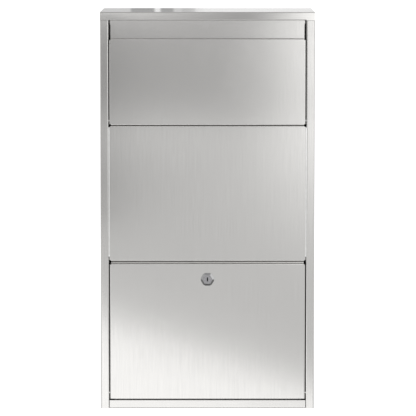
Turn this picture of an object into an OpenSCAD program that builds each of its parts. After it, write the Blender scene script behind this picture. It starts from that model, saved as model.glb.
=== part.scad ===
// Wall mounted mailbox in folded steel sheet: a tilt-out mail flap above, a fixed middle panel,
// and a lockable removal door below. The origin is the centre of the wall face, the front faces -Y.

/* [Casing] */
// Outside width
body_w = 360; // [340:5:400]
// Outside height
body_h = 670; // [640:5:720]
// Outside depth, from the wall to the front face
body_d = 210; // [190:5:240]
// Width of the front bands and side flanges
band = 14; // [13:0.5:16]
// Depth of the folds behind the side flanges
jamb_depth = 18; // [17:1:24]

/* [Sheet metal] */
// Thickness of the casing and front sheets
sheet = 1.2; // [1:0.1:1.3]
// Thickness of the inner sheets
thin_sheet = 1; // [0.8:0.1:1.2]
// Bend radius at the middle of the sheet
bend_r = 1.4; // [1.2:0.1:1.4]

/* [Front layout] */
// Height of the recessed grip strip under the top band
grip_h = 31; // [26:1:40]
// Depth of the grip strip behind the front face
grip_depth = 12; // [10:0.5:14]
// Height of the mail flap
flap_h = 145; // [140:0.5:160]
// Gap under the mail flap
flap_gap = 0.7; // [0.7:0.1:2.5]
// Height of the fixed middle panel
middle_h = 228.7; // [210:0.1:240]
// Gap above the removal door
door_top_gap = 3.7; // [3.7:0.1:7]
// Gap under the removal door
door_foot_gap = 2.7; // [2.5:0.1:4]
// Gap beside the flap and the door
side_gap = 1.2; // [1:0.1:2.5]

/* [Hinges] */
// Hinge pin radius
pin_r = 1.5; // [1.3:0.1:1.6]
// Radial clearance around a hinge pin
pin_play = 0.05; // [0.03:0.01:0.08]
// Distance of the hinge axes behind the front face
axis_back = 3.7; // [3.6:0.1:4.2]
// Height of the flap's hinge axis above its lower edge
flap_axis_h = 7.8; // [7:0.1:8]
// Height of the door's hinge axis above its lower edge
door_axis_h = 10; // [9:0.1:10]
// Largest tilt of the flap
flap_tilt = 45; // [35:1:45]

/* [Hopper] */
// Radius of the cheeks that close the sides of the tilted flap
cheek_r = 122; // [116:1:122]
// Slope of the tray, down towards the back
tray_slope = 25; // [20:1:30]
// Length of the tray
tray_l = 112; // [100:1:112]

/* [Lock] */
// Height of the lock's axis under the top of the door
lock_drop = 26.9; // [24:0.1:40]
// Rosette size across its flats
rosette_af = 21.5; // [21:0.5:24]
// Height of the rosette over the door
rosette_h = 4; // [3.5:0.1:5]
// Plug radius
plug_r = 6; // [5:0.1:6]
// Reach of the cam from the lock's axis
cam_reach = 32; // [30:1:36]

/* [Wall fixing] */
// Distance between the wall holes, side to side
wall_hole_dx = 280; // [240:5:300]
// Distance between the wall holes, up and down
wall_hole_dz = 560; // [540:5:580]
// Wall hole radius
wall_hole_r = 4; // [3:0.5:5]

/* [Hidden] */
$fn = 48;

half_w = body_w / 2;
half_h = body_h / 2;
front = -body_d;
mid = sheet / 2;
thin_mid = thin_sheet / 2;
front_mid = front + mid;
front_back = front + sheet;
inside_w = half_w - sheet;
jamb_x = half_w - band;

// Heights of the front's edges, from the top down
band_z = half_h - band;
flap_top = band_z - grip_h;
flap_low = flap_top - flap_h;
middle_top = flap_low - flap_gap;
middle_low = middle_top - middle_h;
door_top = middle_low - door_top_gap;
door_low = band - half_h + door_foot_gap;
leaf_x = jamb_x - side_gap;

// How far a cutting tool runs past a face
past = 1;

// Hinge axes
axis_y = front + axis_back;
flap_axis_z = flap_low + flap_axis_h;
door_axis_z = door_low + door_axis_h;
leaf_back = front_back - axis_y;
drill_x = jamb_x + band / 2;

// Folds
bend_step = 10;
bend_in = bend_r - mid + 0.1;
bend_out = bend_r + mid;
pan_fold = 13;
panel_top_fold = 8;
corner_relief = 2;
side_turn = 12;
seam = 0.4;
weld_gap = 0.1;
spare = 0.3;

// Hem along the flap's upper edge
hem_r = 0.8;
hem_h = 12;
hem_y = front_mid + 2 * hem_r + 0.1;

// Grip fascia: a recessed strip that runs down behind the flap's edge, to a foot that stops the cheeks
fascia_x = jamb_x - 2.2;
fascia_step = 1;
fascia_step_z = band_z - 5;
fascia_y = front + grip_depth + mid;
fascia_flange = 12;
fascia_low = flap_top - 14;
foot_back = front + 24;
bumper_z = fascia_low + 7;
bumper_x = body_w / 3;
bumper_r = 4;
bumper_neck_r = 2;

// Hopper
cheek_x = leaf_x - 5.5;
cheek_flange = 13;
tray_x = cheek_x - sheet - 0.2;
tray_flange_h = 20;
tray_bend_h = -2;
tray_lip = 6;
tab_h = 14;
tab_width = 4;
foot_angle = atan2(foot_back - axis_y, fascia_low - flap_axis_z);
tab_start = flap_tilt + foot_angle + spare / cheek_r * 180 / PI;
tab_end = tab_start + tab_width;
tray_end = tray_point(tray_l);
rivet_r = 1.6;
rivet_hole_r = 1.65;
rivet_places = [18, 58, 98];
rivet_rise = 5.2 * [sin(tray_slope), cos(tray_slope)];

// Baffle, clear of everything that swings with the hopper
baffle_edge = [axis_y + 117, flap_axis_z + 48];
baffle_back_z = flap_axis_z + 99;
baffle_flange = 20;
baffle_lip = 8;

// Door parts
door_return = 20;
door_lip = 8;
door_step_y = front + 6;
door_step_z = middle_low - 0.8;
strike_x = jamb_x - 3;
strike_y = front + 23.7;
strike_low = door_top - 10;
door_bumper_z = door_top - 4.7;
stiffener_x = 145;
stiffener_top = door_top - 51.5;
stiffener_low = door_axis_z + 10.8;
stiffener_y = front + 13.7;
stiffener_flange = 9.5;
sill_x = leaf_x - 7;
sill_y = axis_y + 11.6;
sill_lip_y = axis_y + 3;
sill_lip_z = door_axis_z + leaf_back + spare + mid;

// Lock
lock_z = door_top - lock_drop;
barrel_r = 9.4;
barrel_hole_r = 9.5;
neck_r = 7;
neck_face = front - rosette_h + 0.4;
plug_face = front - rosette_h + 0.8;
bore_r = plug_r + pin_play;
barrel_back = front + 24.5;
cam_y = front + 25.5;
cam_t = 2;
tang = 7;
screw_r = 1.85;
screw_bore_r = 1.9;
screw_l = 7;

// Unit vector from a to b
function unit(a, b) = (b - a) / norm(b - a);

// Turn of a path at b, in degrees, positive to the left
function turn(a, b, c) = let (u = unit(a, b), v = unit(b, c)) atan2(u[0] * v[1] - u[1] * v[0], u * v);

// Straight length that the bend at b takes from each side
function setback(a, b, c, r) = r * tan(abs(turn(a, b, c)) / 2);

// Point on the middle of the tray, a distance down its slope
function tray_point(s) = [
    axis_y + leaf_back + mid + s * cos(tray_slope),
    flap_axis_z + tray_bend_h - s * sin(tray_slope)
];

// The same vector turned a quarter to the left
function left(v) = [-v[1], v[0]];

// Points round the bend at b, an offset to the left of the sheet's middle line
function bend_points(a, b, c, r, offset) =
    let (
        angle = turn(a, b, c),
        inward = sign(angle) * left(unit(a, b)),
        centre = b - unit(a, b) * setback(a, b, c, r) + inward * r,
        from = atan2(-inward[1], -inward[0]),
        steps = ceil(abs(angle) / bend_step),
        edge_r = r - sign(angle) * offset
    )
    [for (i = [0:steps]) centre + edge_r * [cos(from + angle * i / steps), sin(from + angle * i / steps)]];

// One face of a folded sheet, an offset to the left of its middle line
function face_points(path, r, offset) =
    let (last = len(path) - 1)
    concat(
        [path[0] + offset * left(unit(path[0], path[1]))],
        [for (i = [1:last - 1]) each bend_points(path[i - 1], path[i], path[i + 1], r, offset)],
        [path[last] + offset * left(unit(path[last - 1], path[last]))]
    );

function reversed(list) = [for (i = [len(list) - 1:-1:0]) list[i]];

// Section of a folded sheet along the points of its middle line
module folded(path, t = sheet, r = bend_r) {
    polygon(concat(face_points(path, r, t / 2), reversed(face_points(path, r, -t / 2))));
}

// Part of a ring from the +X direction round to an angle
module ring_sector(r_in, r_out, angle) {
    far = 2 * r_out;
    intersection() {
        difference() {
            circle(r_out);
            circle(r_in);
        }
        polygon([
            [0, 0],
            [far, 0],
            1.5 * far * [cos(angle / 2), sin(angle / 2)],
            far * [cos(angle), sin(angle)]
        ]);
    }
}

// A section in X and Y, run up from z0 to z1
module along_z(z0, z1) {
    translate([0, 0, z0])
        linear_extrude(z1 - z0)
            children();
}

// A section in Y and Z, run from x0 to x1
module along_x(x0, x1) {
    translate([x0, 0, 0])
        rotate([90, 0, 90])
            linear_extrude(x1 - x0)
                children();
}

// A section in X and Z, run from y0 to y1
module along_y(y0, y1) {
    translate([0, y1, 0])
        rotate([90, 0, 0])
            linear_extrude(y1 - y0)
                children();
}

// A round bar along Y
module round_y(r, y0, y1) {
    along_y(y0, y1)
        circle(r);
}

// A round bar along X
module round_x(r, x0, x1) {
    along_x(x0, x1)
        circle(r);
}

// A channel section: a front sheet with both sides folded back
module channel(x, y_front, depth) {
    folded([[-x, y_front + depth], [-x, y_front], [x, y_front], [x, y_front + depth]]);
}

// Holes for a leaf's two hinge pins
module pin_holes(z) {
    translate([0, axis_y, z])
        round_x(pin_r + pin_play, -drill_x, drill_x);
}

// Back, sides, front flanges and the folds behind them, one folded sheet
module body_wrap() {
    x = half_w - mid;
    fold_x = jamb_x + mid;
    color("silver")
        difference() {
            along_z(-half_h, half_h - sheet)
                folded([
                    [fold_x, front + jamb_depth],
                    [fold_x, front_mid],
                    [x, front_mid],
                    [x, -mid],
                    [-x, -mid],
                    [-x, front_mid],
                    [-fold_x, front_mid],
                    [-fold_x, front + jamb_depth]
                ]);
            translate([-half_w - past, front - past, band_z - seam])
                cube([body_w + 2 * past, past + bend_out + weld_gap, band + past]);
            pin_holes(flap_axis_z);
            pin_holes(door_axis_z);
            for (x = [-1, 1], z = [-1, 1])
                translate([x * wall_hole_dx / 2, 0, z * wall_hole_dz / 2])
                    round_y(wall_hole_r, -sheet - past, past);
        }
}

// Top sheet with the full-width band folded down at the front, and back under between the jambs
module top_cover() {
    z = half_h - mid;
    low = band_z + mid;
    return_end = fascia_y - mid - weld_gap;
    inner_x = jamb_x - seam;
    color("silver")
        union() {
            for (x = [-half_w, inner_x])
                along_x(x, x + half_w - inner_x)
                    folded([[front_mid, band_z], [front_mid, z], [0, z]]);
            along_x(-inner_x, inner_x)
                folded([[return_end, low], [front_mid, low], [front_mid, z], [0, z]]);
        }
}

// Floor with upturned sides, and the band folded up between the side flanges
module bottom_panel() {
    x = inside_w - weld_gap - mid;
    z = mid - half_h;
    back = front + jamb_depth + spare;
    drain_r = 4;
    drain_inset = 40;
    color("silver")
        difference() {
            union() {
                along_y(back, -sheet - bend_in)
                    folded([[-x, z + side_turn], [-x, z], [x, z], [x, z + side_turn]]);
                along_x(-jamb_x + seam, jamb_x - seam)
                    folded([[back, z], [front_mid, z], [front_mid, band - half_h]]);
            }
            for (x = [-body_w / 4, body_w / 4], y = [front + drain_inset, -drain_inset])
                translate([x, y, -half_h - past])
                    cylinder(r = drain_r, h = sheet + 2 * past);
        }
}

// Fixed panel between the flap and the door, folded back on all four sides
module middle_front_panel() {
    x = jamb_x - seam - mid;
    top = middle_top - mid;
    low = middle_low + mid;
    color("silver")
        union() {
            along_z(middle_low + corner_relief, middle_top - corner_relief)
                channel(x, front_mid, pan_fold);
            along_x(-x + corner_relief, x - corner_relief)
                folded([
                    [front + panel_top_fold, top],
                    [front_mid, top],
                    [front_mid, low],
                    [front + pan_fold, low]
                ]);
        }
}

// Recessed strip over the flap: it carries the bumpers, and its foot stops the hopper cheeks
module grip_fascia() {
    top_z = half_h - sheet - mid;
    slope_h = 4;
    color("lightgray")
        difference() {
            along_x(-fascia_x, fascia_x)
                folded([
                    [fascia_y + fascia_flange, top_z],
                    [fascia_y, top_z],
                    [fascia_y, fascia_low + mid],
                    [foot_back, fascia_low + mid]
                ]);
            for (side = [0, 1])
                mirror([side, 0, 0])
                    along_y(front, foot_back + past)
                        polygon([
                            [fascia_x + past, fascia_low - past],
                            [fascia_x - fascia_step, fascia_low - past],
                            [fascia_x - fascia_step, fascia_step_z - slope_h],
                            [fascia_x, fascia_step_z],
                            [fascia_x + past, fascia_step_z]
                        ]);
            for (x = [-bumper_x, bumper_x])
                translate([x, 0, bumper_z])
                    round_y(bumper_neck_r + pin_play, fascia_y - sheet, fascia_y + sheet);
        }
}

// Sloping plate on the back wall that stops a hand from reaching over the open hopper
module anti_theft_baffle() {
    y = -sheet - mid;
    color("darkgray")
        along_x(bend_in - inside_w, inside_w - bend_in)
            folded([
                [y, baffle_back_z + baffle_flange],
                [y, baffle_back_z],
                baffle_edge,
                baffle_edge - [0, baffle_lip]
            ]);
}

// Lintel behind the middle panel's lower edge: the lock's cam turns behind its hanging leg
module lock_strike() {
    front_y = front_back + mid;
    web_z = middle_low + sheet + mid;
    flange_h = 16;
    color("darkgray")
        along_x(-strike_x, strike_x)
            folded([
                [front_y, web_z + flange_h],
                [front_y, web_z],
                [strike_y, web_z],
                [strike_y, strike_low]
            ]);
}

// Rain dam on the floor: its lip holds the foot of the door down when the door lies open
module door_sill() {
    floor_z = sheet + mid - half_h;
    flange_w = 16;
    color("darkgray")
        along_x(-sill_x, sill_x)
            folded([
                [sill_y + flange_w, floor_z],
                [sill_y, floor_z],
                [sill_y, sill_lip_z],
                [sill_lip_y, sill_lip_z]
            ]);
}

// Hinge pin with its push-on ring behind the fold, at the right-hand side
module hinge_pin(z) {
    ring_x = jamb_x + bend_out + weld_gap;
    ring_w = 1;
    ring_t = 0.7;
    color("gainsboro")
        translate([0, axis_y, z]) {
            round_x(pin_r, leaf_x - 3 * sheet, ring_x + ring_w + pin_r / 2);
            round_x(pin_r + ring_t, ring_x, ring_x + ring_w);
        }
}

module flap_hinge_pin_left() {
    mirror([1, 0, 0])
        hinge_pin(flap_axis_z);
}

module flap_hinge_pin_right() {
    hinge_pin(flap_axis_z);
}

module door_hinge_pin_left() {
    mirror([1, 0, 0])
        hinge_pin(door_axis_z);
}

module door_hinge_pin_right() {
    hinge_pin(door_axis_z);
}

// Domed rubber buttons in the fascia, behind the flap's hem
module flap_bumpers() {
    face = front + grip_depth;
    length = face - hem_y - mid - spare;
    dome_r = 1;
    barb_r = 2.8;
    barb_l = 2;
    color("dimgray")
        for (x = [-bumper_x, bumper_x])
            translate([x, face, bumper_z])
                rotate([90, 0, 0])
                    rotate_extrude()
                        union() {
                            square([bumper_r, length - dome_r]);
                            translate([0, length - dome_r])
                                square([bumper_r - dome_r, dome_r]);
                            translate([bumper_r - dome_r, length - dome_r])
                                ring_sector(0, dome_r, 90);
                            translate([0, -sheet])
                                square([bumper_neck_r, sheet]);
                            translate([0, -sheet - barb_l])
                                square([barb_r, barb_l]);
                        }
}

// Flat rubber buttons on the strike, behind the door's lip
module door_bumpers() {
    lip_back = front + door_return;
    color("dimgray")
        for (x = [-bumper_x, bumper_x])
            translate([x, 0, door_bumper_z])
                round_y(bumper_r, lip_back + spare, strike_y - mid);
}

// Mail flap: sides and foot folded back, top edge hemmed
module flap_panel() {
    x = leaf_x - mid;
    low = flap_low + mid;
    top = flap_top - mid;
    side_fold = 10;
    foot_fold = 6;
    join_z = flap_low + 20;
    color("silver")
        difference() {
            union() {
                along_z(flap_low + corner_relief, flap_top - corner_relief)
                    channel(x, front_mid, side_fold);
                along_x(-x + corner_relief, x - corner_relief)
                    folded([[front + foot_fold, low], [front_mid, low], [front_mid, join_z]]);
                along_x(-x + corner_relief, x - corner_relief)
                    folded([
                        [front_mid, join_z],
                        [front_mid, top],
                        [hem_y, top],
                        [hem_y, flap_top - hem_h]
                    ], sheet, hem_r);
            }
            pin_holes(flap_axis_z);
        }
}

// Outline of a hopper cheek, about the hinge axis
module cheek_outline() {
    rear = cheek_r * [sin(tab_end), cos(tab_end)];
    front_edge = leaf_back + mid + bend_r;
    tray_rear = tray_end - [axis_y, flap_axis_z];
    far = 2 * cheek_r;
    under_tray = 3;
    rim = 5;
    difference() {
        union() {
            intersection() {
                circle(cheek_r);
                polygon([[front_edge, 0], [front_edge, far], far * [sin(tab_end), cos(tab_end)]]);
            }
            polygon([
                [front_edge, tray_bend_h - under_tray],
                [front_edge, 1],
                rear,
                tray_rear + [1, 0],
                tray_rear - [2, rim]
            ]);
            rotate(90 - tab_end)
                ring_sector(cheek_r - rim, cheek_r + tab_h, tab_width);
        }
        for (s = rivet_places)
            translate(tray_point(s) - [axis_y, flap_axis_z] + rivet_rise)
                circle(rivet_hole_r);
    }
}

// Cheek with its flange on the back of the flap, at the right-hand side
module hopper_cheek() {
    flange_y = front_back + mid;
    plate_y = flange_y + bend_r;
    flange_low = flap_axis_z + tray_flange_h + 2;
    flange_top = flap_axis_z + cheek_r - hem_h;
    color("lightgray")
        union() {
            translate([0, axis_y, flap_axis_z])
                along_x(cheek_x - sheet, cheek_x)
                    cheek_outline();
            along_z(flange_low, flange_top)
                folded([
                    [cheek_x - cheek_flange, flange_y],
                    [cheek_x - mid, flange_y],
                    [cheek_x - mid, plate_y]
                ]);
        }
}

module hopper_cheek_left() {
    mirror([1, 0, 0])
        hopper_cheek();
}

module hopper_cheek_right() {
    hopper_cheek();
}

// Sloping tray between the cheeks, with upturned sides
module hopper_tray() {
    start = tray_point(0);
    side_h = 9;
    side_inset = 4;
    color("lightgray")
        difference() {
            union() {
                along_x(-tray_x, tray_x)
                    folded([
                        start + [0, tray_flange_h],
                        start,
                        tray_end,
                        tray_end + tray_lip * [-sin(tray_slope), -cos(tray_slope)]
                    ]);
                for (x = [-tray_x, tray_x - thin_sheet])
                    along_x(x, x + thin_sheet)
                        translate(start)
                            rotate(-tray_slope)
                                translate([side_inset, 0])
                                    square([tray_l - 2 * side_inset, side_h]);
            }
            for (s = rivet_places)
                translate([0, tray_point(s)[0], tray_point(s)[1]])
                    translate([0, rivet_rise[0], rivet_rise[1]])
                        round_x(rivet_hole_r, -half_w, half_w);
        }
}

// Rivets through the cheeks and the tray's upturned sides
module hopper_rivets() {
    inner_x = tray_x - thin_sheet;
    head_h = 1;
    color("gainsboro")
        for (side = [0, 1], s = rivet_places)
            mirror([side, 0, 0])
                translate([0, tray_point(s)[0] + rivet_rise[0], tray_point(s)[1] + rivet_rise[1]]) {
                    round_x(rivet_r, inner_x, cheek_x);
                    round_x(2 * rivet_r, inner_x - head_h, inner_x);
                    round_x(2 * rivet_r, cheek_x, cheek_x + head_h);
                }
}

// Removal door: sides folded back, top stepped back to a lip under the middle panel, plain foot
module door_panel() {
    x = leaf_x - mid;
    lip_y = front + door_return - mid;
    step_z = door_step_z - mid;
    color("silver")
        difference() {
            union() {
                along_z(door_low, door_top - corner_relief)
                    channel(x, front_mid, pan_fold);
                along_x(-x + corner_relief, x - corner_relief)
                    folded([
                        [lip_y, door_top - door_lip],
                        [lip_y, step_z],
                        [door_step_y, step_z],
                        [door_step_y, door_top - mid],
                        [front_mid, door_top - mid],
                        [front_mid, door_low]
                    ]);
            }
            pin_holes(door_axis_z);
            translate([0, 0, lock_z])
                round_y(barrel_hole_r, front - past, front_back + past);
        }
}

// Inner pan that stiffens the door sheet
module door_stiffener() {
    flange_y = front_back + thin_mid;
    x = stiffener_x;
    color("lightgray")
        union() {
            along_z(stiffener_low + corner_relief, stiffener_top - corner_relief)
                folded([
                    [-x - stiffener_flange, flange_y],
                    [-x, flange_y],
                    [-x, stiffener_y],
                    [x, stiffener_y],
                    [x, flange_y],
                    [x + stiffener_flange, flange_y]
                ], thin_sheet);
            along_x(-x + corner_relief, x - corner_relief)
                folded([
                    [flange_y, stiffener_low - stiffener_flange],
                    [flange_y, stiffener_low],
                    [stiffener_y, stiffener_low],
                    [stiffener_y, stiffener_top],
                    [flange_y, stiffener_top],
                    [flange_y, stiffener_top + stiffener_flange]
                ], thin_sheet);
        }
}

// Bevelled hexagonal rosette round the lock's neck, with its corners rounded off
module lock_rosette() {
    half = rosette_af / 2;
    bevel = 3.2;
    foot = 1;
    corner_r = half + 0.5;
    color("gray")
        translate([0, front, lock_z])
            difference() {
                intersection() {
                    rotate([90, 0, 0])
                        intersection_for(a = [0, 60, 120])
                            rotate(a)
                                rotate([90, 0, 90])
                                    linear_extrude(4 * half, center = true)
                                        polygon([
                                            [-half, 0],
                                            [half, 0],
                                            [half, foot],
                                            [half - bevel, rosette_h],
                                            [bevel - half, rosette_h],
                                            [-half, foot]
                                        ]);
                    round_y(corner_r, -rosette_h - past, past);
                }
                round_y(neck_r + pin_play, -rosette_h - past, past);
            }
}

// Barrel with the neck that the rosette sits on
module lock_barrel() {
    color("gray")
        translate([0, 0, lock_z])
            difference() {
                union() {
                    round_y(barrel_r, front, barrel_back);
                    round_y(neck_r, neck_face, front + sheet);
                }
                round_y(bore_r, neck_face - past, barrel_back + past);
            }
}

// Hexagon nut that clamps the barrel to the door
module lock_nut() {
    nut_af = 26;
    nut_t = 4;
    color("gray")
        translate([0, 0, lock_z])
            difference() {
                along_y(front_back, front_back + nut_t)
                    circle(r = nut_af / sqrt(3), $fn = 6);
                round_y(barrel_r + pin_play, front, front_back + nut_t + past);
            }
}

// Turning plug with its keyhole, and the square tang that drives the cam
module lock_plug() {
    key_w = 2;
    key_h = 7;
    ward_h = 2;
    key_depth = 12;
    color("darkgray")
        translate([0, 0, lock_z])
            difference() {
                union() {
                    round_y(plug_r, plug_face, cam_y);
                    along_y(cam_y - 1, cam_y + cam_t)
                        square(tang, center = true);
                }
                along_y(plug_face - past, plug_face + key_depth)
                    union() {
                        square([key_w, key_h], center = true);
                        square([1.5 * key_w, ward_h], center = true);
                    }
                round_y(screw_bore_r, cam_y - screw_l - 1, cam_y + cam_t + past);
            }
}

// Cam plate, pointing to the left while unlocked
module lock_cam() {
    cam_w = 13;
    hub_r = 8.5;
    tip_x = cam_w / 2 - cam_reach;
    color("gainsboro")
        translate([0, 0, lock_z])
            along_y(cam_y, cam_y + cam_t)
                difference() {
                    union() {
                        circle(hub_r);
                        translate([tip_x, -cam_w / 2])
                            square([-tip_x, cam_w]);
                        translate([tip_x, 0])
                            circle(cam_w / 2);
                    }
                    square(tang + 2 * pin_play, center = true);
                }
}

// Screw that holds the cam on the plug
module cam_screw() {
    back = cam_y + cam_t;
    washer_r = 5.4;
    washer_t = 0.8;
    head_r = 3.6;
    head_h = 2.2;
    slot_l = 5;
    slot_w = 1;
    slot_depth = 1.4;
    top = back + washer_t + head_h;
    color("gainsboro")
        translate([0, 0, lock_z])
            difference() {
                union() {
                    round_y(screw_r, cam_y - screw_l, back + washer_t);
                    round_y(washer_r, back, back + washer_t);
                    round_y(head_r, back, top);
                }
                along_y(top - slot_depth, top + past)
                    union() {
                        square([slot_l, slot_w], center = true);
                        square([slot_w, slot_l], center = true);
                    }
            }
}

body_wrap();
top_cover();
bottom_panel();
middle_front_panel();
grip_fascia();
anti_theft_baffle();
lock_strike();
door_sill();
flap_hinge_pin_left();
flap_hinge_pin_right();
door_hinge_pin_left();
door_hinge_pin_right();
flap_bumpers();
door_bumpers();
flap_panel();
hopper_cheek_left();
hopper_cheek_right();
hopper_tray();
hopper_rivets();
door_panel();
door_stiffener();
lock_rosette();
lock_barrel();
lock_nut();
lock_plug();
lock_cam();
cam_screw();
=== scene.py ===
"""Wall mounted mailbox: looks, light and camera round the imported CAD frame."""

import math

import bmesh
import bpy
from mathutils import Matrix, Vector


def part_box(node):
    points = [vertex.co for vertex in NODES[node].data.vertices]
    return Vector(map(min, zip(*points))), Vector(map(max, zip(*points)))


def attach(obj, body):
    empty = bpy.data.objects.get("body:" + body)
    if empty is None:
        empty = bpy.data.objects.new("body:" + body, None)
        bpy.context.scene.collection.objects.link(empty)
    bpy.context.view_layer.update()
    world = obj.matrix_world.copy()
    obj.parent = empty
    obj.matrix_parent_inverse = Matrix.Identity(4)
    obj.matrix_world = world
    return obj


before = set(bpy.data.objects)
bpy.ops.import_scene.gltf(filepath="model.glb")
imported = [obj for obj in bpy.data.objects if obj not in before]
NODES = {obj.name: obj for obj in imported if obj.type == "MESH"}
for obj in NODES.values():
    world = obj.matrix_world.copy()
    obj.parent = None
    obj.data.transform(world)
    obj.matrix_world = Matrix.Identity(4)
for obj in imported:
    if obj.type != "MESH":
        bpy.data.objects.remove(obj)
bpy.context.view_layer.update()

wrap_low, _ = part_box("body_wrap")
_, cover_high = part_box("top_cover")
FRONT_Y = wrap_low.y
FOOT_Z = wrap_low.z
TOP_Z = cover_high.z


# ---------------------------------------------------------------- node helpers

def new_material(name):
    """A material with a Principled shader, as (material, node tree, shader)."""
    material = bpy.data.materials.new(name)
    material.use_nodes = True
    tree = material.node_tree
    return material, tree, tree.nodes["Principled BSDF"]


def feed(tree, socket, value):
    """Sets a socket to a number, or links it to another socket."""
    if isinstance(value, (int, float)):
        socket.default_value = value
    else:
        tree.links.new(value, socket)


def mapped(tree, scale, shift=0.0):
    """Object coordinates, stretched by scale and shifted along all axes."""
    coord = tree.nodes.new("ShaderNodeTexCoord")
    mapping = tree.nodes.new("ShaderNodeMapping")
    mapping.inputs["Location"].default_value = (shift, shift, shift)
    mapping.inputs["Scale"].default_value = scale
    tree.links.new(coord.outputs["Object"], mapping.inputs["Vector"])
    return mapping.outputs["Vector"]


def noise(tree, vector, detail=3.0, roughness=0.6):
    """A noise value from 0 to 1."""
    node = tree.nodes.new("ShaderNodeTexNoise")
    node.inputs["Scale"].default_value = 1
    node.inputs["Detail"].default_value = detail
    node.inputs["Roughness"].default_value = roughness
    tree.links.new(vector, node.inputs["Vector"])
    return node.outputs["Fac"]


def remap(tree, value, low, high, to_low, to_high, smooth=False):
    """value, from its range to another, clamped."""
    node = tree.nodes.new("ShaderNodeMapRange")
    if smooth:
        node.interpolation_type = "SMOOTHSTEP"
    node.inputs["From Min"].default_value = low
    node.inputs["From Max"].default_value = high
    node.inputs["To Min"].default_value = to_low
    node.inputs["To Max"].default_value = to_high
    tree.links.new(value, node.inputs["Value"])
    return node.outputs["Result"]


def math_node(tree, operation, a, b=0.0):
    """The result of an operation on a and b, which are sockets or numbers."""
    node = tree.nodes.new("ShaderNodeMath")
    node.operation = operation
    feed(tree, node.inputs[0], a)
    feed(tree, node.inputs[1], b)
    return node.outputs["Value"]


def add(tree, a, b):
    """a + b"""
    return math_node(tree, "ADD", a, b)


def times(tree, a, b):
    """a * b"""
    return math_node(tree, "MULTIPLY", a, b)


def mix(tree, a, b, share):
    """share of a and the rest of b."""
    return add(tree, times(tree, a, share), times(tree, b, 1 - share))


def blend_colours(tree, factor, low, high):
    """A colour from low to high by factor. low is a colour or a socket."""
    node = tree.nodes.new("ShaderNodeMix")
    node.data_type = "RGBA"
    if isinstance(low, tuple):
        node.inputs["A"].default_value = (*low, 1)
    else:
        tree.links.new(low, node.inputs["A"])
    node.inputs["B"].default_value = (*high, 1)
    tree.links.new(factor, node.inputs["Factor"])
    return node.outputs["Result"]


def scaled(tone, factor):
    """A tone made darker or lighter."""
    return tuple(min(1, c * factor) for c in tone)


def bump(tree, shader, height, distance=1.0):
    """Gives the shader a relief: height times distance is in metres."""
    node = tree.nodes.new("ShaderNodeBump")
    node.inputs["Distance"].default_value = distance
    node.inputs["Strength"].default_value = 1
    tree.links.new(height, node.inputs["Height"])
    tree.links.new(node.outputs["Normal"], shader.inputs["Normal"])


def edge_mask(tree, radius, low, high):
    """0 on the faces of a piece and up to 1 along its edges, broken up a little.

    It rises as the cosine between the face and its rounded edge falls from high to low.
    """
    rounded = tree.nodes.new("ShaderNodeBevel")
    rounded.samples = 4
    rounded.inputs["Radius"].default_value = radius
    surface = tree.nodes.new("ShaderNodeNewGeometry")
    dot = tree.nodes.new("ShaderNodeVectorMath")
    dot.operation = "DOT_PRODUCT"
    tree.links.new(rounded.outputs["Normal"], dot.inputs[0])
    tree.links.new(surface.outputs["Normal"], dot.inputs[1])
    worn = remap(tree, dot.outputs["Value"], high, low, 0, 1)
    patchy = remap(tree, noise(tree, mapped(tree, (60, 60, 60)), detail=4), 0.3, 0.6, 0.3, 1)
    return times(tree, worn, patchy)


# ---------------------------------------------------------------- materials

# Texture scales are per metre, so 1500 is a pattern of about 0.7 mm.
# Grain is this much coarser along the brushing than across it
ALONG = 0.012


def grain_scale(axis, size):
    """Texture scale for grain that runs along an axis."""
    return tuple(size * (ALONG if name == axis else 1) for name in "XYZ")


def brushed_steel(name, axis, tone, rough, streak=0.045, wave=0.0, seed=0.0):
    """Brushed stainless sheet with grain along an axis, slightly wavy, and brighter along its edges."""
    grain_relief = 0.00003
    edge_brightness = 1.18
    material, tree, shader = new_material(name)
    shader.inputs["Metallic"].default_value = 1
    shader.inputs["Anisotropic"].default_value = 0.55
    fine = noise(tree, mapped(tree, grain_scale(axis, 1500)), detail=2)
    medium = noise(tree, mapped(tree, grain_scale(axis, 480)))
    cloud = noise(tree, mapped(tree, (9, 9, 9)), detail=4)
    smudge = noise(tree, mapped(tree, (34, 34, 34)), detail=5, roughness=0.7)
    grain = mix(tree, fine, medium, 0.75)
    shade = mix(tree, grain, cloud, 0.8)

    streaks = remap(tree, shade, 0.3, 0.7, 0, 1)
    brushed = blend_colours(tree, streaks, scaled(tone, 1 - streak), scaled(tone, 1 + streak))
    worn = times(tree, edge_mask(tree, 0.0012, 0.75, 0.97), 0.6)
    edged = blend_colours(tree, worn, brushed, scaled(tone, edge_brightness))
    tree.links.new(edged, shader.inputs["Base Color"])

    roughness = remap(tree, shade, 0.3, 0.7, rough + 0.035, rough - 0.035)
    handled = remap(tree, smudge, 0.45, 0.75, 0, 0.03)
    tree.links.new(add(tree, roughness, handled), shader.inputs["Roughness"])

    tangent = tree.nodes.new("ShaderNodeTangent")
    tangent.direction_type = "RADIAL"
    tangent.axis = axis
    tree.links.new(tangent.outputs["Tangent"], shader.inputs["Tangent"])

    height = times(tree, grain, grain_relief)
    if wave:
        swell = noise(tree, mapped(tree, (7, 7, 5), seed), detail=1, roughness=0.3)
        height = add(tree, height, times(tree, swell, wave))
    bump(tree, shader, height)
    return material


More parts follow.
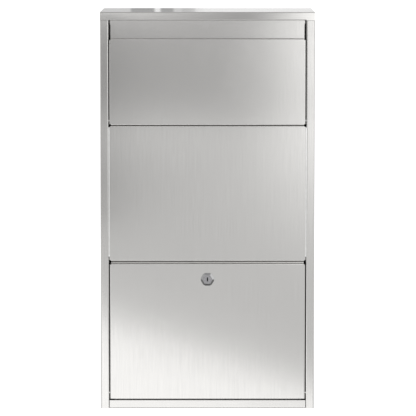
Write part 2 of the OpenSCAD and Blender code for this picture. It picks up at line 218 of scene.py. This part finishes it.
def turned_metal(name, tone, rough, spread=0.1):
    """Smooth turned or cast metal with faint handling marks and worn edges."""
    material, tree, shader = new_material(name)
    shader.inputs["Metallic"].default_value = 1
    marks = noise(tree, mapped(tree, (600, 600, 600)), detail=4)
    stain = noise(tree, mapped(tree, (90, 90, 90)))
    base = blend_colours(tree, stain, scaled(tone, 1 - spread), scaled(tone, 1 + spread))
    worn = times(tree, edge_mask(tree, 0.0005, 0.7, 0.97), 0.5)
    edged = blend_colours(tree, worn, base, scaled(tone, 1.3))
    tree.links.new(edged, shader.inputs["Base Color"])
    tree.links.new(remap(tree, marks, 0.3, 0.7, rough - 0.03, rough + 0.06), shader.inputs["Roughness"])
    bump(tree, shader, marks, distance=0.00002)
    return material


def rubber(name, tone):
    """Matt moulded rubber with a fine skin and a little dust."""
    material, tree, shader = new_material(name)
    skin = noise(tree, mapped(tree, (2500, 2500, 2500)), detail=2)
    dust = noise(tree, mapped(tree, (140, 140, 140)), detail=4)
    dusty = blend_colours(tree, dust, scaled(tone, 0.8), scaled(tone, 1.5))
    tree.links.new(dusty, shader.inputs["Base Color"])
    tree.links.new(remap(tree, dust, 0.3, 0.7, 0.6, 0.8), shader.inputs["Roughness"])
    bump(tree, shader, skin, distance=0.00004)
    return material


# Tones of the outer and the inner sheets, and the roughness of the outer ones
STEEL = (0.66, 0.652, 0.638)
INNER = (0.56, 0.56, 0.555)
ROUGH = 0.22

MATERIALS = {
    "wrap": brushed_steel("brushed_sheet_wrap", "Z", STEEL, ROUGH, streak=0.06, wave=0.0004, seed=1.7),
    "cover": brushed_steel("brushed_sheet_cover", "X", STEEL, 0.13, wave=0.0002, seed=4.1),
    "floor": brushed_steel("brushed_sheet_floor", "X", STEEL, ROUGH, wave=0.0003, seed=2.9),
    "flap": brushed_steel("brushed_sheet_flap", "Z", STEEL, ROUGH, wave=0.0006, seed=6.3),
    "middle": brushed_steel("brushed_sheet_middle", "Z", STEEL, ROUGH, wave=0.0004, seed=8.8),
    "door": brushed_steel("brushed_sheet_door", "Z", STEEL, ROUGH, wave=0.0004, seed=3.2),
    "inner": brushed_steel("inner_sheet", "X", INNER, 0.36, streak=0.05, wave=0.0003),
    "pin": turned_metal("pin_steel", (0.85, 0.85, 0.84), 0.12),
    "rosette": turned_metal("lock_chrome", (0.46, 0.46, 0.463), 0.1),
    "zinc": turned_metal("lock_zinc", (0.42, 0.415, 0.43), 0.28),
    # Near black: painted shade down the lock's keyway, given to the wafers there
    "keyway": turned_metal("keyway_painted_shade", (0.04, 0.04, 0.04), 0.5),
    "rubber": rubber("bumper_rubber", (0.035, 0.035, 0.037)),
}

# The material of each CAD node
NODE_MATERIALS = {
    "body_wrap": "wrap",
    "top_cover": "cover",
    "bottom_panel": "floor",
    "middle_front_panel": "middle",
    "grip_fascia": "wrap",
    "anti_theft_baffle": "inner",
    "lock_strike": "inner",
    "door_sill": "inner",
    "flap_hinge_pin_left": "pin",
    "flap_hinge_pin_right": "pin",
    "door_hinge_pin_left": "pin",
    "door_hinge_pin_right": "pin",
    "flap_bumpers": "rubber",
    "door_bumpers": "rubber",
    "flap_panel": "flap",
    "hopper_cheek_left": "inner",
    "hopper_cheek_right": "inner",
    "hopper_tray": "inner",
    "hopper_rivets": "pin",
    "door_panel": "door",
    "door_stiffener": "inner",
    "lock_rosette": "rosette",
    "lock_barrel": "zinc",
    "lock_nut": "zinc",
    "lock_plug": "zinc",
    "lock_cam": "pin",
    "cam_screw": "pin",
}


def soften_edges(piece, width=0.0002):
    """Joins split vertices, rounds sharp edges a little and keeps flat faces flat."""
    for polygon in piece.data.polygons:
        polygon.use_smooth = True
    weld = piece.modifiers.new("weld", "WELD")
    weld.merge_threshold = 0.00001
    flat = piece.modifiers.new("flat", "DECIMATE")
    flat.decimate_type = "DISSOLVE"
    flat.angle_limit = math.radians(1)
    edge = piece.modifiers.new("edge", "BEVEL")
    edge.width = width
    edge.segments = 2
    edge.limit_method = "ANGLE"
    edge.angle_limit = math.radians(35)
    normals = piece.modifiers.new("normals", "WEIGHTED_NORMAL")
    normals.weight = 100
    normals.keep_sharp = False


def finish_cad_nodes():
    """Gives each CAD node its material and softened edges."""
    for name, key in NODE_MATERIALS.items():
        node = NODES[name]
        node.data.materials.clear()
        node.data.materials.append(MATERIALS[key])
        soften_edges(node)


# ---------------------------------------------------------------- pieces

def add_piece(name, mesh, body, material):
    """Makes a mesh a piece that rides on a body."""
    piece = bpy.data.objects.new(name, mesh)
    bpy.context.scene.collection.objects.link(piece)
    mesh.materials.append(MATERIALS[material])
    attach(piece, body)
    return piece


def lofted_mesh(name, rings):
    """A closed mesh through rings of as many points each, with its faces outward."""
    count = len(rings[0])
    points = [point for ring in rings for point in ring]
    last = (len(rings) - 1) * count
    faces = []
    for here in range(0, last, count):
        there = here + count
        for i in range(count):
            after = (i + 1) % count
            faces.append((here + i, here + after, there + after, there + i))
    faces.append(tuple(range(count)))
    faces.append(tuple(range(last, last + count)))
    mesh = bpy.data.meshes.new(name)
    mesh.from_pydata(points, [], faces)
    solid = bmesh.new()
    solid.from_mesh(mesh)
    bmesh.ops.recalc_face_normals(solid, faces=solid.faces)
    solid.to_mesh(mesh)
    solid.free()
    return mesh


def add_seam_welds():
    """The two dressed weld beads between the fixed middle panel and the side flanges."""
    low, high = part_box("middle_front_panel")
    # The beads stop short of the panel's folds at its foot and its top
    start = low.z + 0.0065
    end = high.z - 0.002
    half_width = 0.0011
    crown = 0.00035
    root = 0.0012
    set_back = 0.0003
    arc_steps = 8
    stations = 60
    arc = [
        (half_width * math.cos(math.pi * i / arc_steps), -crown * math.sin(math.pi * i / arc_steps))
        for i in range(arc_steps + 1)
    ]
    section = arc + [(-half_width * 0.3, root), (half_width * 0.3, root)]
    for side, x in (("left", low.x), ("right", high.x)):
        rings = []
        for i in range(stations + 1):
            z = start + (end - start) * i / stations
            ripple = 1 + 0.06 * math.sin(i * 2.1) + 0.04 * math.sin(i * 0.7)
            rings.append([(x + across * ripple, FRONT_Y + set_back + depth, z) for across, depth in section])
        mesh = lofted_mesh("panel_seam_weld_" + side, rings)
        for polygon in mesh.polygons:
            polygon.use_smooth = len(polygon.vertices) == 4
        add_piece("panel_seam_weld_" + side, mesh, "casing", "pin")


def add_key_wafers():
    """The dark stack of wafers seen down the lock's keyway, with the nose of each one rounded. Their near
    black colour is painted shade.
    """
    low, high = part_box("lock_plug")
    x = (low.x + high.x) / 2
    z = (low.z + high.z) / 2
    depth = 0.0026
    half_width = 0.00095
    half_height = 0.0034
    notch = 0.0008
    nose = 0.0002
    thickness = 0.0007
    pitch = 2 * thickness
    count = 5
    upper = []
    for i in range(count):
        start = low.y + depth + i * pitch
        end = start + thickness + nose
        upper += [(start, half_height - notch), (start + nose, half_height)]
        upper += [(end - nose, half_height), (end, half_height - notch)]
    outline = upper + [(y, -height) for y, height in reversed(upper)]
    rings = [[(x + side, y, z + height) for y, height in outline] for side in (-half_width, half_width)]
    add_piece("key_wafers", lofted_mesh("key_wafers", rings), "lock_core", "keyway")


# ---------------------------------------------------------------- stage, light and camera

# Light levels of the room, which the steel mirrors: all round, below, above, to the sides and behind
AMBIENT = 0.36
DARK_FLOOR = 0.18
OVERHEAD = 0.52
BESIDE = 0.45
BEHIND = 0.05

# Soft pools of light and shade on the front screen. Each has its strength and the ramps it rises over,
# as (across, up, start, end) in metres from the casing's middle
FRONT_BASE = 0.75
FRONT_POOLS = {
    "upper right": (1.25, [(1, 0, 0.06, 0.24), (0, 1, -0.23, 0.33)]),
    "upper right shade": (-0.30, [(1, 0, -0.49, 0.21), (0, 1, 0.11, 0.12)]),
    "upper left shade": (-0.32, [(-1, 0, 0.12, 0.21), (0, 1, -0.10, -0.06)]),
    "low": (0.69, [(-0.34, -1, 0.32, 0.33)]),
    "top band": (0.6, [(-1, 0, -0.12, 0.12), (0, 1, 0.29, 0.36), (0, -1, -0.50, -0.40)]),
    "top band left": (0.45, [(-1, 0, 0.08, 0.20), (0, 1, 0.29, 0.36), (0, -1, -0.50, -0.40)]),
    "top band right shade": (-0.45, [(1, 0, 0.08, 0.17), (0, 1, 0.30, 0.40)]),
    "flap foot": (0.14, [(-1, 0, -0.05, 0.05), (0, 1, 0.02, 0.08), (0, -1, -0.16, -0.11)]),
}
# Ramps at the screen's two sides, where all the pools fade out to its plain level
POOL_SIDES = [(1, 0, -0.75, -0.42), (-1, 0, -0.75, -0.42)]

# Bars on the strip light behind the top, as (place, half width, depth). A negative depth is a bright bar
TOP_BARS = [(-0.12, 0.02, 0.95), (-0.093, 0.005, -0.9), (-0.075, 0.01, 0.95), (-0.035, 0.01, 0.4)]


def add_floor():
    """Plain pale floor, some way below the casing, as under a box on a wall."""
    size = 40.0
    drop = 0.45
    z = FOOT_Z - drop
    corners = [(-size, -size, z), (size, -size, z), (size, size, z), (-size, size, z)]
    mesh = bpy.data.meshes.new("floor")
    mesh.from_pydata(corners, [], [(0, 1, 2, 3)])
    material, tree, shader = new_material("pale_floor")
    speck = noise(tree, mapped(tree, (3, 3, 3)), detail=2)
    pale = blend_colours(tree, speck, (0.90, 0.90, 0.90), (0.93, 0.93, 0.93))
    tree.links.new(pale, shader.inputs["Base Color"])
    shader.inputs["Roughness"].default_value = 0.9
    shader.inputs["Specular IOR Level"].default_value = 0.1
    shader.inputs["Emission Color"].default_value = (1, 1, 1, 1)
    shader.inputs["Emission Strength"].default_value = 0.85
    mesh.materials.append(material)
    floor = bpy.data.objects.new("floor", mesh)
    bpy.context.scene.collection.objects.link(floor)
    # The steel mirrors the soft room instead of the floor
    floor.visible_glossy = False


def add_world():
    """White to the camera; as light a grey room, dark below, lighter above and to the sides."""
    world = bpy.data.worlds.new("studio")
    bpy.context.scene.world = world
    world.use_nodes = True
    tree = world.node_tree
    coord = tree.nodes.new("ShaderNodeTexCoord")
    split = tree.nodes.new("ShaderNodeSeparateXYZ")
    tree.links.new(coord.outputs["Generated"], split.inputs["Vector"])
    x, y, z = split.outputs["X"], split.outputs["Y"], split.outputs["Z"]
    above_floor = remap(tree, z, -0.65, -0.28, DARK_FLOOR / AMBIENT, 1)
    overhead = remap(tree, z, 0.35, 0.75, 1, OVERHEAD / AMBIENT)
    beside = remap(tree, math_node(tree, "ABSOLUTE", x), 0.75, 0.97, 0, BESIDE)
    behind = remap(tree, y, 0.25, 0.7, 0, BEHIND)
    room = add(tree, add(tree, beside, behind), AMBIENT)
    room = times(tree, room, times(tree, above_floor, overhead))
    seen = tree.nodes.new("ShaderNodeLightPath").outputs["Is Camera Ray"]
    unseen = math_node(tree, "SUBTRACT", 1, seen)
    background = tree.nodes["Background"]
    background.inputs["Color"].default_value = (1, 1, 1, 1)
    tree.links.new(add(tree, seen, times(tree, room, unseen)), background.inputs["Strength"])


def add_softbox(name, place, aim, size, radiance):
    """A rectangular soft light at place, facing aim, whose surface has that radiance."""
    data = bpy.data.lights.new(name, "AREA")
    data.shape = "RECTANGLE"
    data.size, data.size_y = size
    data.energy = radiance * math.pi * size[0] * size[1]
    light = bpy.data.objects.new(name, data)
    bpy.context.scene.collection.objects.link(light)
    turn = (Vector(aim) - Vector(place)).to_track_quat("-Z", "Y").to_matrix().to_4x4()
    light.matrix_world = Matrix.Translation(place) @ turn
    light.visible_camera = False
    return light


def painted_softbox(name, place, aim, size):
    """A softbox whose level is drawn by nodes, as (node tree, x, y), in metres from its middle."""
    light = add_softbox(name, place, aim, size, 1.0)
    light.data.use_nodes = True
    tree = light.data.node_tree
    surface = tree.nodes.new("ShaderNodeNewGeometry")
    split = tree.nodes.new("ShaderNodeSeparateXYZ")
    tree.links.new(surface.outputs["Parametric"], split.inputs["Vector"])
    x = times(tree, math_node(tree, "SUBTRACT", split.outputs["X"], 0.5), size[0])
    y = times(tree, math_node(tree, "SUBTRACT", split.outputs["Y"], 0.5), size[1])
    return tree, x, y


def set_level(tree, level):
    """Makes a painted softbox shine at that level."""
    tree.links.new(level, tree.nodes["Emission"].inputs["Strength"])


def slanted_ramp(tree, x, z, across, up, start, end):
    """0 to 1 over the stretch from start to end of across * x + up * z."""
    place = add(tree, times(tree, x, across), times(tree, z, up))
    return remap(tree, place, start, end, 0, 1, smooth=True)


def add_front_screen():
    """A large diffusion screen before the front, with soft pools of light and shade."""
    side = 2.4
    ahead = 0.6
    place = (0, FRONT_Y - ahead, 0)
    tree, x, z = painted_softbox("front_screen", place, aim=(0, FRONT_Y, 0), size=(side, side))
    level = FRONT_BASE - AMBIENT
    for strength, ramps in FRONT_POOLS.values():
        pool = strength
        for ramp in ramps + POOL_SIDES:
            pool = times(tree, slanted_ramp(tree, x, z, *ramp), pool)
        level = add(tree, pool, level)
    set_level(tree, math_node(tree, "MAXIMUM", level, 0))


def add_top_strip():
    """A strip light low behind the top sheet, which mirrors it as a bright surface with a few bars."""
    place = (0, 0.35, 0.50)
    tree, across, _ = painted_softbox("top_strip", place, aim=(0, -0.10, 0.50), size=(0.9, 0.33))
    # The light faces the front, so its own X runs against the world's
    x = times(tree, across, -1)
    left_level = 0.30
    right_gain = 0.26
    bar_edge = 0.004
    rightward = remap(tree, x, -0.05, 0, 0, 1, smooth=True)
    level = add(tree, times(tree, rightward, right_gain), left_level)
    for centre, half_width, depth in TOP_BARS:
        away = math_node(tree, "ABSOLUTE", math_node(tree, "SUBTRACT", x, centre))
        level = times(tree, level, remap(tree, away, half_width, half_width + bar_edge, 1 - depth, 1))
    set_level(tree, level)


def add_high_light():
    """A small softbox high on the right, aimed at the lock."""
    place = (1.35, -0.50, 0.52)
    add_softbox("high_right", place, aim=(0, -0.21, -0.11), size=(0.5, 0.4), radiance=0.5)


def add_camera():
    """The photograph's view: from the front, a little above the top."""
    distance = 5.2
    rise = 0.17
    frame_width = 0.6998
    aim = Vector((0.0009, FRONT_Y, 0.0057))
    eye = Vector((aim.x, FRONT_Y - distance, TOP_Z + rise))
    turn = (aim - eye).to_track_quat("-Z", "Y").to_matrix().to_4x4()
    data = bpy.data.cameras.new("camera")
    data.sensor_width = 36
    data.lens = data.sensor_width * (aim - eye).length / frame_width
    data.clip_end = 200
    camera = bpy.data.objects.new("camera", data)
    bpy.context.scene.collection.objects.link(camera)
    camera.matrix_world = Matrix.Translation(eye) @ turn
    bpy.context.scene.camera = camera


finish_cad_nodes()
add_seam_welds()
add_key_wafers()
add_floor()
add_world()
add_front_screen()
add_top_strip()
add_high_light()
add_camera()
bpy.context.scene.view_settings.view_transform = "Standard"
